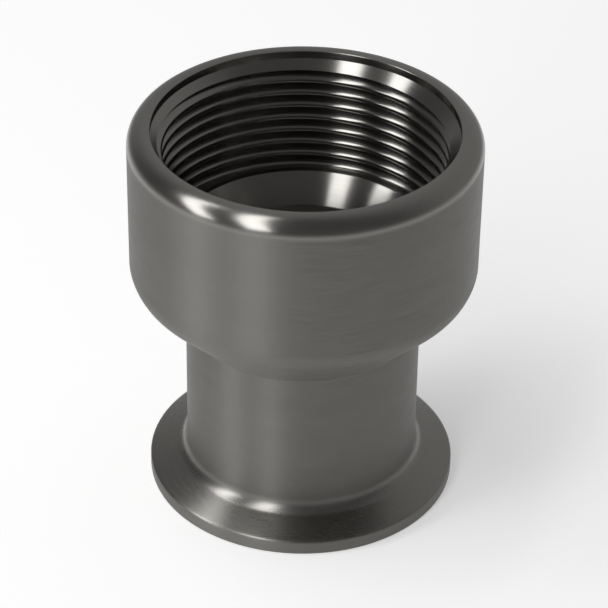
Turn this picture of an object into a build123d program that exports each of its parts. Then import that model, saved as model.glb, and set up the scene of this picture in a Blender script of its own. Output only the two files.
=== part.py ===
import os
from math import radians, tan

from build123d import *

# Tube end. Widths across the wall are set out from the bore, heights from the sealing face,
# whose centre is the origin.
bore_diameter = 34.8
neck_wall = 1.65
neck_height = 30.1
neck_fillet = 2.5

# Clamp flange at the foot, with a gasket groove in its sealing face
flange_rim_height = 2.4
flange_back_slope = 20.0
flange_edge_chamfer = 0.3
inner_land = 2.8
groove_width = 3.2
groove_floor_width = 1.8
groove_depth = 1.4
outer_land = 1.85

# Hub, with a rounded shoulder down to the neck
hub_height = 34.9
shoulder_slope = 45.0
shoulder_round = 5.0
lip_round = 2.8

# Threaded socket: a plain mouth, a lead-in, the wall that carries the thread, and a flat floor
lip_width = 3.7
mouth_depth = 1.3
lead_in_width = 1.875
lead_in_slope = 45.0
socket_depth = 20.7
floor_width = 1.625

# Funnel from the socket's floor down to the bore
funnel_width = 3.4
funnel_half_angle = 36.0

bore_radius = bore_diameter / 2
neck_radius = bore_radius + neck_wall
groove_inner_radius = bore_radius + inner_land
groove_outer_radius = groove_inner_radius + groove_width
groove_side_width = (groove_width - groove_floor_width) / 2
flange_radius = groove_outer_radius + outer_land
funnel_radius = bore_radius + funnel_width
minor_radius = funnel_radius + floor_width
mouth_radius = minor_radius + lead_in_width
hub_radius = mouth_radius + lip_width

# Heights along the axis, from the sealing face up
flange_back_top = flange_rim_height + (flange_radius - neck_radius) * tan(radians(flange_back_slope))
chamfer_top = flange_rim_height + flange_edge_chamfer * tan(radians(flange_back_slope))
shoulder_corner = neck_height + (hub_radius - neck_radius) * tan(radians(shoulder_slope))
overall_height = neck_height + hub_height
mouth_step = overall_height - mouth_depth
lead_in_end = mouth_step - lead_in_width * tan(radians(lead_in_slope))
socket_floor = overall_height - socket_depth
funnel_foot = socket_floor - funnel_width / tan(radians(funnel_half_angle))

with BuildPart() as adapter_body:
    # Outer form, turned as one piece
    with BuildSketch(Plane.XZ) as outline:
        with BuildLine():
            Polyline(
                (0, 0),
                (flange_radius - flange_edge_chamfer, 0),
                (flange_radius, flange_edge_chamfer),
                (flange_radius, flange_rim_height - flange_edge_chamfer),
                (flange_radius - flange_edge_chamfer, chamfer_top),
                (neck_radius, flange_back_top),
                (neck_radius, neck_height),
                (hub_radius, shoulder_corner),
                (hub_radius, overall_height),
                (0, overall_height),
                close=True,
            )
        make_face()
        fillet(outline.vertices().sort_by_distance((neck_radius, flange_back_top))[0], neck_fillet)
        fillet(outline.vertices().sort_by_distance((hub_radius, shoulder_corner))[0], shoulder_round)
        fillet(outline.vertices().sort_by_distance((hub_radius, overall_height))[0], lip_round)
    revolve(axis=Axis.Z)

    # The way through: mouth, lead-in, socket, floor, funnel and bore
    with BuildSketch(Plane.XZ):
        with BuildLine():
            Polyline(
                (0, 0),
                (bore_radius, 0),
                (bore_radius, funnel_foot),
                (funnel_radius, socket_floor),
                (minor_radius, socket_floor),
                (minor_radius, lead_in_end),
                (mouth_radius, mouth_step),
                (mouth_radius, overall_height),
                (0, overall_height),
                close=True,
            )
        make_face()
    revolve(axis=Axis.Z, mode=Mode.SUBTRACT)

    # Gasket groove, wider at the sealing face than at its floor
    with BuildSketch(Plane.XZ):
        with BuildLine():
            Polyline(
                (groove_inner_radius, 0),
                (groove_inner_radius + groove_side_width, groove_depth),
                (groove_outer_radius - groove_side_width, groove_depth),
                (groove_outer_radius, 0),
                close=True,
            )
        make_face()
    revolve(axis=Axis.Z, mode=Mode.SUBTRACT)

adapter_body.part.label = "adapter_body"
os.makedirs("parts", exist_ok=True)
export_step(adapter_body.part, "parts/adapter_body.step")
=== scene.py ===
from math import pi, radians, sin, tan

import bmesh
import bpy
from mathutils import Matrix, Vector


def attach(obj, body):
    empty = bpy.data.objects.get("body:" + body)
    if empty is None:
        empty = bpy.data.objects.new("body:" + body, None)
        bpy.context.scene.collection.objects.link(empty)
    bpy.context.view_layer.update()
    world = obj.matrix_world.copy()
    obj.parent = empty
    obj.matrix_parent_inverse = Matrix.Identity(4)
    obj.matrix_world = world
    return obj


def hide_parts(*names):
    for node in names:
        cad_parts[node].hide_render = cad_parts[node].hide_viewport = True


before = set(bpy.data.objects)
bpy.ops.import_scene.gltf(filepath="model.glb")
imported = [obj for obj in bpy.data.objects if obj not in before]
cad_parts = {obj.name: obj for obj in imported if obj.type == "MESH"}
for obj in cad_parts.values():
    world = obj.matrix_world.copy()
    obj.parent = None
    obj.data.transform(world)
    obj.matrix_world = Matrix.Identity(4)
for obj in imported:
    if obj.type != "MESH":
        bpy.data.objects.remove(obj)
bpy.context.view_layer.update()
print("frame loaded")

mm = 0.001
spinSteps = 240  # facets round the axis, for the body and for each turn of the thread
mergeGap = 0.001 * mm


def startFresh():
    # no selection is left from the last step
    if bpy.context.object and bpy.context.object.mode != "OBJECT":
        bpy.ops.object.mode_set(mode="OBJECT")
    bpy.ops.object.select_all(action="DESELECT")


# camera, at the photograph's place
view = {
    "location": (0, -0.360746, 0.279645),
    "rotation": (55.4957, -0.7412, 0.4876),  # degrees
    "lens": 159.5,
    "sensor": 36,
    "nearest": 0.01,
}


def placeCamera(p):
    startFresh()
    turn = [radians(a) for a in p["rotation"]]
    bpy.ops.object.camera_add(location=p["location"], rotation=turn)
    camera = bpy.context.object
    camera.name = "photoCamera"
    camera.data.lens = p["lens"]
    camera.data.sensor_width = p["sensor"]
    camera.data.clip_start = p["nearest"]
    bpy.context.scene.camera = camera


placeCamera(view)
print("camera placed")


# the section through one side is drawn corner by corner, as (radius, height) in mm
def drawSection(name, corners):
    startFresh()
    bpy.ops.mesh.primitive_plane_add(size=mm, location=(0, 0, 0))
    section = bpy.context.object
    section.name = name
    bpy.ops.object.mode_set(mode="EDIT")
    bpy.ops.mesh.select_mode(type="VERT")
    bpy.ops.mesh.select_all(action="SELECT")
    bpy.ops.mesh.merge(type="CENTER")
    firstRadius, firstHeight = corners[0]
    bpy.ops.transform.translate(value=(firstRadius * mm, 0, firstHeight * mm))
    closed = corners[1:] + corners[:1]
    for (r0, z0), (r1, z1) in zip(corners, closed):
        step = ((r1 - r0) * mm, 0, (z1 - z0) * mm)
        bpy.ops.mesh.extrude_vertices_move(TRANSFORM_OT_translate={"value": step})
    bpy.ops.mesh.select_all(action="SELECT")
    bpy.ops.mesh.remove_doubles(threshold=mergeGap)
    return section


def roundCorner(section, corner, radius, turn, facets):
    # turn is how many degrees the section turns at that corner
    bpy.ops.mesh.select_all(action="DESELECT")
    mesh = bmesh.from_edit_mesh(section.data)
    place = Vector((corner[0] * mm, 0, corner[1] * mm))
    nearest = min(mesh.verts, key=lambda v: (v.co - place).length)
    nearest.select = True
    bmesh.update_edit_mesh(section.data)
    bpy.ops.mesh.bevel(
        offset=radius * mm * tan(radians(turn) / 2),
        segments=facets,
        affect="VERTICES",
    )


# body: one turned piece, from the sealing face up to the mouth, with radii and heights in mm
body = {
    "bore": 17.4,
    "neck": 19.05,
    "neckTop": 30.1,
    "flange": 25.25,
    "rimHeight": 2.4,
    "flangeSlope": 20,  # degrees
    "hub": 28.0,
    "height": 65.0,
    "mouth": 24.3,
    "mouthStep": 63.7,
    "minor": 22.425,
    "socketFloor": 44.3,
    "funnel": 20.8,
    "funnelHalfAngle": 36,  # degrees
    "grooveInner": 20.2,
    "grooveOuter": 23.4,
    "grooveDepth": 1.4,
    "grooveSide": 0.5,  # how far each side leans out
    "grooveTurn": 70,  # degrees
    # each edge's round, as its radius and its facets
    "boreEdge": (0.2, 3),
    "grooveRound": (1.1, 6),
    "flangeEdge": (0.3, 5),
    "rimEdge": (0.35, 5),
    "flangeFillet": (2.5, 14),
    "shoulderFoot": (0.5, 4),
    "shoulderRound": (5.0, 12),
    "lipRound": (2.8, 20),
    "mouthEdge": (0.15, 3),
    "floorEdge": (0.2, 3),
    "funnelEdge": (0.5, 3),
    # loops beside the rounds, which keep the straight stretches straight when shaded smooth
    "slopeLoops": (24.6, 21.1),
    "filletLoop": 2.2,
    "footLoop": 0.6,
    "shoulderLoop": 1.9,
    "hubLoop": 2.5,
    "lipLoop": 3.2,
}


def makeBody(p):
    slope = tan(radians(p["flangeSlope"]))
    flangeBack = p["rimHeight"] + (p["flange"] - p["neck"]) * slope
    shoulder = p["neckTop"] + p["hub"] - p["neck"]
    leadInEnd = p["mouthStep"] - (p["mouth"] - p["minor"])
    funnelFoot = p["socketFloor"] - (p["funnel"] - p["bore"]) / tan(radians(p["funnelHalfAngle"]))
    groove = [
        (p["grooveInner"], 0),
        (p["grooveInner"] + p["grooveSide"], p["grooveDepth"]),
        (p["grooveOuter"] - p["grooveSide"], p["grooveDepth"]),
        (p["grooveOuter"], 0),
    ]
    corners = [
        (p["bore"], 0),
        *groove,
        (p["flange"], 0),
        (p["flange"], p["rimHeight"]),
        *[(r, p["rimHeight"] + (p["flange"] - r) * slope) for r in p["slopeLoops"]],
        (p["neck"], flangeBack),
        (p["neck"], flangeBack + p["filletLoop"]),
        (p["neck"], p["neckTop"] - p["footLoop"]),
        (p["neck"], p["neckTop"]),
        (p["neck"] + p["footLoop"], p["neckTop"] + p["footLoop"]),
        (p["hub"] - p["shoulderLoop"], shoulder - p["shoulderLoop"]),
        (p["hub"], shoulder),
        (p["hub"], shoulder + p["hubLoop"]),
        (p["hub"], p["height"] - p["lipLoop"]),
        (p["hub"], p["height"]),
        (p["mouth"], p["height"]),
        (p["mouth"], p["mouthStep"]),
        (p["minor"], leadInEnd),
        (p["minor"], p["socketFloor"]),
        (p["funnel"], p["socketFloor"]),
        (p["bore"], funnelFoot),
    ]
    section = drawSection("adapter", corners)
    flangeTurn = 90 - p["flangeSlope"]
    for corner, turn, edge in (
        ((p["bore"], 0), 90, "boreEdge"),
        (groove[1], p["grooveTurn"], "grooveRound"),
        (groove[2], p["grooveTurn"], "grooveRound"),
        ((p["flange"], 0), 90, "flangeEdge"),
        ((p["flange"], p["rimHeight"]), flangeTurn, "rimEdge"),
        ((p["neck"], flangeBack), flangeTurn, "flangeFillet"),
        ((p["neck"], p["neckTop"]), 45, "shoulderFoot"),
        ((p["hub"], shoulder), 45, "shoulderRound"),
        ((p["hub"], p["height"]), 90, "lipRound"),
        ((p["mouth"], p["height"]), 90, "mouthEdge"),
        ((p["funnel"], p["socketFloor"]), 90 - p["funnelHalfAngle"], "floorEdge"),
        ((p["bore"], funnelFoot), p["funnelHalfAngle"], "funnelEdge"),
    ):
        radius, facets = p[edge]
        roundCorner(section, corner, radius, turn, facets)
    bpy.ops.mesh.select_all(action="SELECT")
    bpy.ops.mesh.spin(steps=spinSteps, angle=2 * pi, center=(0, 0, 0), axis=(0, 0, 1))
    bpy.ops.mesh.select_all(action="SELECT")
    bpy.ops.mesh.remove_doubles(threshold=mergeGap)
    bpy.ops.mesh.normals_make_consistent(inside=False)
    bpy.ops.object.mode_set(mode="OBJECT")
    return section


adapter = makeBody(body)
print("body turned", len(adapter.data.polygons))


# thread: the groove of a right-hand parallel pipe thread, 11 turns an inch, cut out of the socket
thread = {
    "pitch": 2.309,
    "minor": body["minor"],
    "major": 23.87,
    "halfAngle": 27.5,  # degrees
    "crestRound": 0.58,  # the crests are worn rounder than new ones
    "crestFacets": 5,
    "rootRound": 0.05,
    "rootFacets": 3,
    "crestHalf": 0.02,  # half of the flat that is left on each crest
    "skin": 0.01,  # how far inside the wall the groove's own sides start
    "inner": 0.1,  # how far inside the wall the cutter starts
    "start": 42.65,  # height of the groove's middle where its first turn starts, under the floor
    "turns": 9,
    "floor": body["socketFloor"] + 0.05,  # nothing is cut below this height
    "puckRadius": 30,  # the puck takes the cutter away under that height
    "puckHeight": 20,
    "puckSides": 48,
    "smoothAngle": 24,  # degrees
}


def makeThreadCutter(p):
    flank = tan(radians(p["halfAngle"]))
    half = p["pitch"] / 2 - p["crestHalf"]
    inner = p["minor"] - p["inner"]
    skin = p["minor"] - p["skin"]
    apex = p["major"] + p["rootRound"] * (1 / sin(radians(p["halfAngle"])) - 1)
    wide = (apex - skin) * flank
    mid = p["start"]
    corners = [
        (inner, mid - half),
        (inner, mid + half),
        (skin, mid + half),
        (skin, mid + wide),
        (apex, mid),
        (skin, mid - wide),
        (skin, mid - half),
    ]
    cutter = drawSection("threadCutter", corners)
    turn = 90 - p["halfAngle"]
    roundCorner(cutter, corners[3], p["crestRound"], turn, p["crestFacets"])
    roundCorner(cutter, corners[5], p["crestRound"], turn, p["crestFacets"])
    roundCorner(cutter, corners[4], p["rootRound"], 2 * turn, p["rootFacets"])
    bpy.ops.object.mode_set(mode="OBJECT")
    screw = cutter.modifiers.new("turns", "SCREW")
    screw.axis = "Z"
    screw.angle = 2 * pi
    screw.screw_offset = p["pitch"] * mm
    screw.iterations = p["turns"]
    screw.steps = spinSteps
    screw.render_steps = spinSteps
    screw.use_smooth_shade = False
    bpy.ops.object.modifier_apply(modifier="turns")
    bpy.ops.object.mode_set(mode="EDIT")
    bpy.ops.mesh.select_all(action="SELECT")
    bpy.ops.mesh.fill_holes(sides=0)
    bpy.ops.mesh.select_all(action="SELECT")
    bpy.ops.mesh.normals_make_consistent(inside=False)
    bpy.ops.object.mode_set(mode="OBJECT")
    return cutter


def cutAway(piece, tool):
    startFresh()
    piece.select_set(True)
    bpy.context.view_layer.objects.active = piece
    cut = piece.modifiers.new("cut", "BOOLEAN")
    cut.operation = "DIFFERENCE"
    cut.solver = "EXACT"
    cut.object = tool
    bpy.ops.object.modifier_apply(modifier="cut")
    bpy.data.objects.remove(tool)


def cutThread(piece, p):
    tool = makeThreadCutter(p)
    startFresh()
    bpy.ops.mesh.primitive_cylinder_add(
        vertices=p["puckSides"],
        radius=p["puckRadius"] * mm,
        depth=p["puckHeight"] * mm,
        location=(0, 0, (p["floor"] - p["puckHeight"] / 2) * mm),
    )
    cutAway(tool, bpy.context.object)
    cutAway(piece, tool)
    bpy.ops.object.mode_set(mode="EDIT")
    bpy.ops.mesh.select_all(action="SELECT")
    bpy.ops.mesh.remove_doubles(threshold=mergeGap / 2)
    bpy.ops.mesh.dissolve_degenerate(threshold=mergeGap / 2)
    bpy.ops.object.mode_set(mode="OBJECT")
    bpy.ops.object.shade_smooth_by_angle(angle=radians(p["smoothAngle"]))


cutThread(adapter, thread)
print("thread cut", len(adapter.data.polygons))


def addNode(tree, kind, spot, **values):
    node = tree.nodes.new(kind)
    node.location = spot
    for name, value in values.items():
        setattr(node, name, value)
    return node


def setSpan(node, side, span):
    node.inputs[side + " Min"].default_value = span[0]
    node.inputs[side + " Max"].default_value = span[1]


# steel: turned and brushed round the axis, so every line follows a circle about it
def makeSteel(name, look):
    steel = bpy.data.materials.new(name)
    steel.use_nodes = True
    tree = steel.node_tree
    link = tree.links.new
    shader = tree.nodes["Principled BSDF"]
    shader.inputs["Metallic"].default_value = 1.0
    shader.inputs["Anisotropic Rotation"].default_value = 0.25  # a quarter turn, across the lines

    def feed(value, socket):
        if isinstance(value, bpy.types.NodeSocket):
            link(value, socket)
        else:
            socket.default_value = value

    def noise(vector, kind, spot):
        texture = addNode(tree, "ShaderNodeTexNoise", spot)
        texture.inputs["Scale"].default_value = look[kind + "Scale"]
        texture.inputs["Detail"].default_value = look[kind + "Detail"]
        link(vector, texture.inputs["Vector"])
        return texture.outputs["Fac"]

    def fade(heights, spot):
        # 0 at the first height and 1 at the second
        mask = addNode(tree, "ShaderNodeMapRange", spot, interpolation_type="SMOOTHSTEP")
        setSpan(mask, "From", [h * mm for h in heights])
        link(split.outputs["Z"], mask.inputs["Value"])
        return mask.outputs[0]

    def between(mask, low, high, spot):
        # low where the mask is 0 and high where it is 1, each a number or a node's output
        if low == high:
            return low
        mix = addNode(tree, "ShaderNodeMapRange", spot)
        link(mask, mix.inputs["Value"])
        feed(low, mix.inputs["To Min"])
        feed(high, mix.inputs["To Max"])
        return mix.outputs[0]

    # place on the piece as direction round the axis, and distance along and from it
    place = addNode(tree, "ShaderNodeTexCoord", (-1500, 0))
    split = addNode(tree, "ShaderNodeSeparateXYZ", (-1300, 0))
    link(place.outputs["Object"], split.inputs[0])
    flat = addNode(tree, "ShaderNodeCombineXYZ", (-1300, -200))
    link(split.outputs["X"], flat.inputs["X"])
    link(split.outputs["Y"], flat.inputs["Y"])
    distance = addNode(tree, "ShaderNodeVectorMath", (-1100, -200), operation="LENGTH")
    link(flat.outputs[0], distance.inputs[0])
    direction = addNode(tree, "ShaderNodeVectorMath", (-1100, -400), operation="NORMALIZE")
    link(flat.outputs[0], direction.inputs[0])
    along = addNode(tree, "ShaderNodeMath", (-1100, 0), operation="ADD")
    link(split.outputs["Z"], along.inputs[0])
    link(distance.outputs["Value"], along.inputs[1])
    ringed = addNode(tree, "ShaderNodeCombineXYZ", (-900, 0))
    link(along.outputs[0], ringed.inputs["Z"])
    spread = addNode(tree, "ShaderNodeVectorMath", (-900, -400), operation="SCALE")
    spread.inputs["Scale"].default_value = look["lineBreaks"]
    link(direction.outputs[0], spread.inputs[0])
    lines = addNode(tree, "ShaderNodeVectorMath", (-700, -200), operation="ADD")
    link(spread.outputs[0], lines.inputs[0])
    link(ringed.outputs[0], lines.inputs[1])

    # fine lines, the uneven bands that the tool or belt leaves, and soft clouds
    grain = noise(lines.outputs[0], "grain", (-500, 100))
    bands = noise(lines.outputs[0], "band", (-500, -150))
    cloud = noise(place.outputs["Object"], "cloud", (-500, -400))

    # the flange's back and the lip are polished, the rim, the neck and the hub are satin
    neck = fade(look["flangeFade"], (-900, 600))
    rim = fade(look["rimFade"], (-900, 850))
    underLip = fade(look["lipFade"], (-900, 1100))
    offFlange = addNode(tree, "ShaderNodeMath", (-700, 700), operation="MAXIMUM")
    link(neck, offFlange.inputs[0])
    link(rim, offFlange.inputs[1])
    satin = addNode(tree, "ShaderNodeMath", (-500, 1000), operation="MULTIPLY")
    link(offFlange.outputs[0], satin.inputs[0])
    link(underLip, satin.inputs[1])
    foot = between(offFlange.outputs[0], look["flangeRoughness"], look["roughness"], (-300, 600))
    base = between(underLip, look["lipRoughness"], foot, (-100, 600))
    stretch = between(offFlange.outputs[0], look["flangeStretch"], look["stretch"], (-100, 850))
    feed(stretch, shader.inputs["Anisotropic"])

    # the colour is a little uneven all over, and on the satin parts it is darker: painted shade
    # for their dimmer, spread reflection
    blend = addNode(tree, "ShaderNodeMath", (-300, 250), operation="ADD")
    link(bands, blend.inputs[0])
    link(cloud, blend.inputs[1])
    tone = addNode(tree, "ShaderNodeMapRange", (-100, 250))
    setSpan(tone, "From", look["blendSpan"])
    setSpan(tone, "To", look["tones"])
    link(blend.outputs[0], tone.inputs["Value"])
    # painted shade: the satin parts' colour is pulled toward the dark end
    satinShade = addNode(tree, "ShaderNodeMath", (-100, 400), operation="MULTIPLY")
    satinShade.inputs[1].default_value = look["paintedSatinShade"]
    link(satin.outputs[0], satinShade.inputs[0])
    shade = addNode(tree, "ShaderNodeMath", (50, 300), operation="SUBTRACT")
    link(tone.outputs[0], shade.inputs[0])
    link(satinShade.outputs[0], shade.inputs[1])
    colour = addNode(tree, "ShaderNodeMix", (200, 250), data_type="RGBA")
    colour.inputs["A"].default_value = (*look["dark"], 1)
    colour.inputs["B"].default_value = (*look["light"], 1)
    link(shade.outputs[0], colour.inputs["Factor"])
    link(colour.outputs["Result"], shader.inputs["Base Color"])

    uneven = addNode(tree, "ShaderNodeMapRange", (-100, -50))
    setSpan(uneven, "From", look["grainSpan"])
    setSpan(uneven, "To", (1 - look["roughnessSpread"], 1 + look["roughnessSpread"]))
    link(grain, uneven.inputs["Value"])
    rough = addNode(tree, "ShaderNodeMath", (100, -50), operation="MULTIPLY")
    feed(base, rough.inputs[0])
    link(uneven.outputs[0], rough.inputs[1])
    link(rough.outputs[0], shader.inputs["Roughness"])

    bump = addNode(tree, "ShaderNodeBump", (100, -300))
    depth = between(satin.outputs[0], look["polishedBump"], look["bump"], (-100, -300))
    feed(depth, bump.inputs["Strength"])
    bump.inputs["Distance"].default_value = look["bumpHeight"] * mm
    link(grain, bump.inputs["Height"])
    link(bump.outputs[0], shader.inputs["Normal"])

    tangent = addNode(tree, "ShaderNodeTangent", (100, -500), direction_type="RADIAL", axis="Z")
    link(tangent.outputs[0], shader.inputs["Tangent"])
    return steel


brushed = {
    "dark": (0.145, 0.143, 0.134),
    "light": (0.265, 0.258, 0.242),
    "tones": (0.66, 0.88),  # the part of the way from dark to light that the unevenness covers
    "paintedSatinShade": 0.38,  # painted shade: how much less of the way from dark to light the colour goes where the steel is satin
    "roughness": 0.46,
    "roughnessSpread": 0.07,  # share of the roughness, up and down
    "flangeRoughness": 0.28,
    "lipRoughness": 0.24,
    "rimFade": (2.5, 2.3),  # heights between which the finish changes, in mm
    "flangeFade": (4.7, 6.3),
    "lipFade": (62.8, 61.8),
    "stretch": 0.85,  # how far a highlight is drawn out across the lines
    "flangeStretch": 0.55,
    "bump": 0.04,
    "polishedBump": 0.02,
    "bumpHeight": 0.02,
    "lineBreaks": 0.0015,  # the smaller, the further each line runs round the piece
    "grainScale": 3000,
    "grainDetail": 3,
    "grainSpan": (0.3, 0.7),  # the noise's low and high that give the ends of the spread
    "bandScale": 300,
    "bandDetail": 2,
    "cloudScale": 60,
    "cloudDetail": 4,
    "blendSpan": (0.4, 1.6),  # the same for bands and clouds added up
}


def allOver(roughness, stretch, bump):
    # one finish from the foot to the lip
    return {
        "roughness": roughness,
        "flangeRoughness": roughness,
        "lipRoughness": roughness,
        "stretch": stretch,
        "flangeStretch": stretch,
        "bump": bump,
        "polishedBump": bump,
    }


turned = {**brushed, **allOver(0.22, 0.9, 0.04), "paintedSatinShade": 0.1, "lineBreaks": 0.0008}
threaded = {**turned, **allOver(0.19, 0.85, 0.04)}

steels = {
    "outside": makeSteel("brushed steel", brushed),
    "socket": makeSteel("turned socket steel", turned),
    "thread": makeSteel("cut thread steel", threaded),
}
for steel in steels.values():
    adapter.data.materials.append(steel)

# where the inner finishes lie, as outer radius and lowest and highest place, in mm
finishes = {
    "thread": (body["mouth"] - 0.1, body["socketFloor"] + 0.1, 61.8),
    "socket": (body["mouth"] + 0.05, 38, body["height"] - 0.1),  # mouth, lead-in, floor and funnel
    "bore": (body["bore"] + 0.2, 0, 38),
}


def isWithin(face, limits):
    x, y, z = face.center / mm
    radius, low, high = limits
    return (x * x + y * y) ** 0.5 < radius and low < z < high


def whichSteel(face, p):
    if isWithin(face, p["thread"]):
        return "thread"
    if isWithin(face, p["socket"]) or isWithin(face, p["bore"]):
        return "socket"
    return "outside"


steelOrder = list(steels)
for face in adapter.data.polygons:
    face.material_index = steelOrder.index(whichSteel(face, finishes))
adapter.data.update()
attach(adapter, "root")
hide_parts("adapter_body")
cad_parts["adapter_body"].data.materials.clear()
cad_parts["adapter_body"].data.materials.append(steels["outside"])
print("steel on")


# floor: wide and pale, with a painted falloff of the studio's light: its colour and glow darken
# away from the object
ground = {
    "size": 4.0,
    "near": (0.82, 0.82, 0.82),
    "far": (0.3, 0.3, 0.3),
    "falloff": (0.17, 0.5),  # distances from the object, in metres
    "roughness": 0.9,
    "glow": 0.45,
}


def makeFloor(p):
    startFresh()
    bpy.ops.mesh.primitive_plane_add(size=p["size"], location=(0, 0, 0))
    floor = bpy.context.object
    floor.name = "floor"
    paint = bpy.data.materials.new("pale floor")
    paint.use_nodes = True
    tree = paint.node_tree
    link = tree.links.new
    shader = tree.nodes["Principled BSDF"]
    place = addNode(tree, "ShaderNodeTexCoord", (-900, 0))
    reach = addNode(tree, "ShaderNodeVectorMath", (-700, 0), operation="LENGTH")
    link(place.outputs["Object"], reach.inputs[0])
    fall = addNode(tree, "ShaderNodeMapRange", (-500, 0), interpolation_type="SMOOTHSTEP")
    setSpan(fall, "From", p["falloff"])
    link(reach.outputs["Value"], fall.inputs["Value"])
    # painted light falloff: near colour by the object, far colour further out, for both colour and
    # glow
    tint = addNode(tree, "ShaderNodeMix", (-300, 0), data_type="RGBA")
    tint.inputs["A"].default_value = (*p["near"], 1)
    tint.inputs["B"].default_value = (*p["far"], 1)
    link(fall.outputs[0], tint.inputs["Factor"])
    link(tint.outputs["Result"], shader.inputs["Base Color"])
    link(tint.outputs["Result"], shader.inputs["Emission Color"])
    shader.inputs["Roughness"].default_value = p["roughness"]
    shader.inputs["Emission Strength"].default_value = p["glow"]
    floor.data.materials.append(paint)


makeFloor(ground)

# lamps: two long soft boxes that lean over the left side
lamps = {
    "frontLeft": {
        "location": (-0.354, -0.002, 1.369),
        "rotation": (59.6, -13.8, -22.7),  # degrees
        "size": (0.2, 2.73),
        "power": 8.2,
    },
    "left": {
        "location": (-0.738, 0.283, 1.244),
        "rotation": (72.5, -28.4, -55.7),
        "size": (0.2, 2.59),
        "power": 7.8,
    },
}


def makeLamp(name, p):
    startFresh()
    turn = [radians(a) for a in p["rotation"]]
    bpy.ops.object.light_add(type="AREA", location=p["location"], rotation=turn)
    lamp = bpy.context.object
    lamp.name = name
    lamp.data.shape = "RECTANGLE"
    lamp.data.size, lamp.data.size_y = p["size"]
    lamp.data.energy = p["power"]


for name, lampSizes in lamps.items():
    makeLamp(name, lampSizes)

# room: dark behind the camera, lighter towards the back and the right
room = {
    "dark": 0.14,
    "light": 0.40,
    "lightSide": (0.5, 0.866, 0),
    "rise": (-0.1, 0.85),  # where the light starts and ends rising, from 0 at right angles to 1
}


def makeRoom(p):
    world = bpy.data.worlds.new("studio")
    bpy.context.scene.world = world
    world.use_nodes = True
    tree = world.node_tree
    place = addNode(tree, "ShaderNodeTexCoord", (-900, 0))
    across = addNode(tree, "ShaderNodeVectorMath", (-700, 0), operation="DOT_PRODUCT")
    across.inputs[1].default_value = p["lightSide"]
    tree.links.new(place.outputs["Generated"], across.inputs[0])
    rise = addNode(tree, "ShaderNodeMapRange", (-500, 0), interpolation_type="SMOOTHSTEP")
    setSpan(rise, "From", p["rise"])
    setSpan(rise, "To", (p["dark"], p["light"]))
    tree.links.new(across.outputs["Value"], rise.inputs["Value"])
    tree.links.new(rise.outputs[0], tree.nodes["Background"].inputs["Strength"])
    tree.nodes["Background"].inputs["Color"].default_value = (1, 1, 1, 1)


makeRoom(room)
bpy.context.scene.view_settings.view_transform = "Standard"
print("stage ready")
